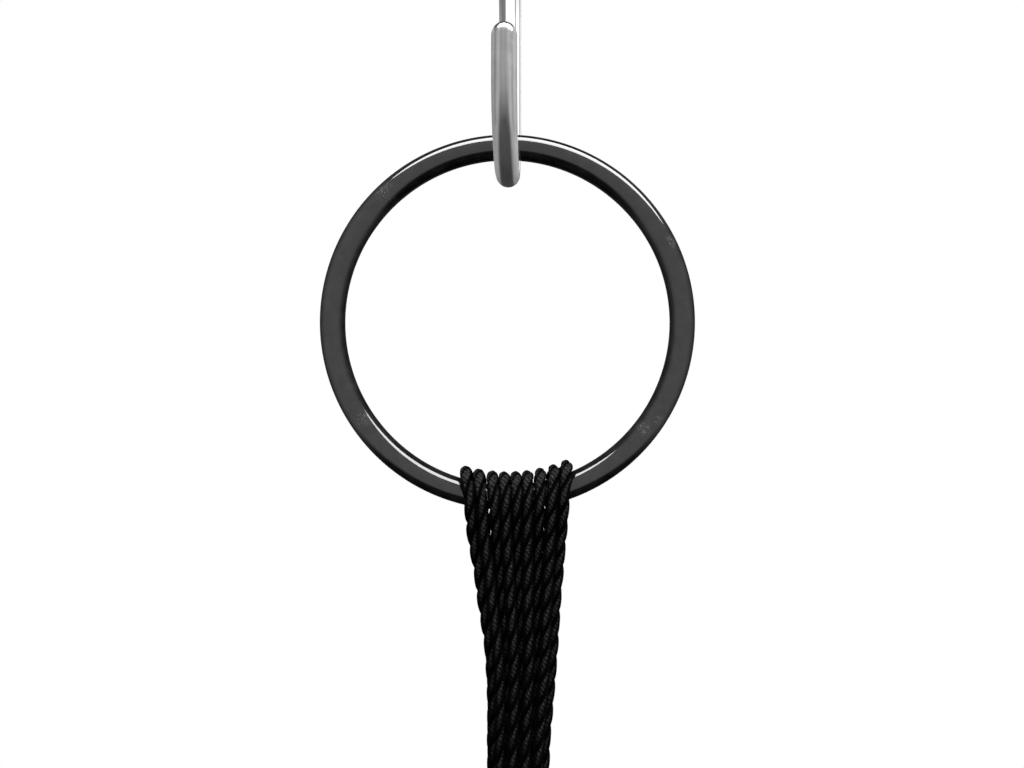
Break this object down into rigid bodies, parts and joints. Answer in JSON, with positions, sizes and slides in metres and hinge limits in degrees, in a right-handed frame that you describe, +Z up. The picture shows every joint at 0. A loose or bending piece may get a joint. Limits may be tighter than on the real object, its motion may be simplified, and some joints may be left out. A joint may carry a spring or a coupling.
{
  "type": "swing suspension",
  "caption": "Open S-hook carrying a round steel ring, with doubled twisted cords hanging from the ring and gathered by a whipping above a lower eye.",
  "frame": {"origin": "highest point of the inside of the hook's upper bowl, where the hook sits on its support", "axes": "+Z up, the ring faces along Y with its front towards -Y, +X to the right seen from the front"},
  "size_m": [0.1254, 0.0534, 0.3998],
  "materials": {
    "zinc_steel": "bright zinc-plated round rod, satin with soft drawn streaks",
    "black_coating": "high-gloss black coating with small scuffs",
    "black_cord": "two-ply twisted synthetic cord, matt with fine yarn lines",
    "black_twine": "thin twisted twine, matt"
  },
  "bodies": {
    "hook": {"s_hook": "zinc_steel"},
    "ring": {"ring": "black_coating"},
    "ropes": {"cord_1": "black_cord", "cord_2": "black_cord", "cord_3": "black_cord", "cord_4": "black_cord", "cord_5": "black_cord", "cord_6": "black_cord", "cord_7": "black_cord", "cord_8": "black_cord", "cord_9": "black_cord", "whipping": "black_twine"}
  },
  "joints": [
    {"name": "ring_swing", "type": "hinge", "parent": "hook", "child": "ring", "pos_m": [0, 0, -0.1163], "axis": [1, 0, 0], "range_deg": [-75, 75]},
    {"name": "rope_swing", "type": "hinge", "parent": "ring", "child": "ropes", "pos_m": [0, 0, -0.2321], "axis": [1, 0, 0], "range_deg": [-25, 25]}
  ]
}
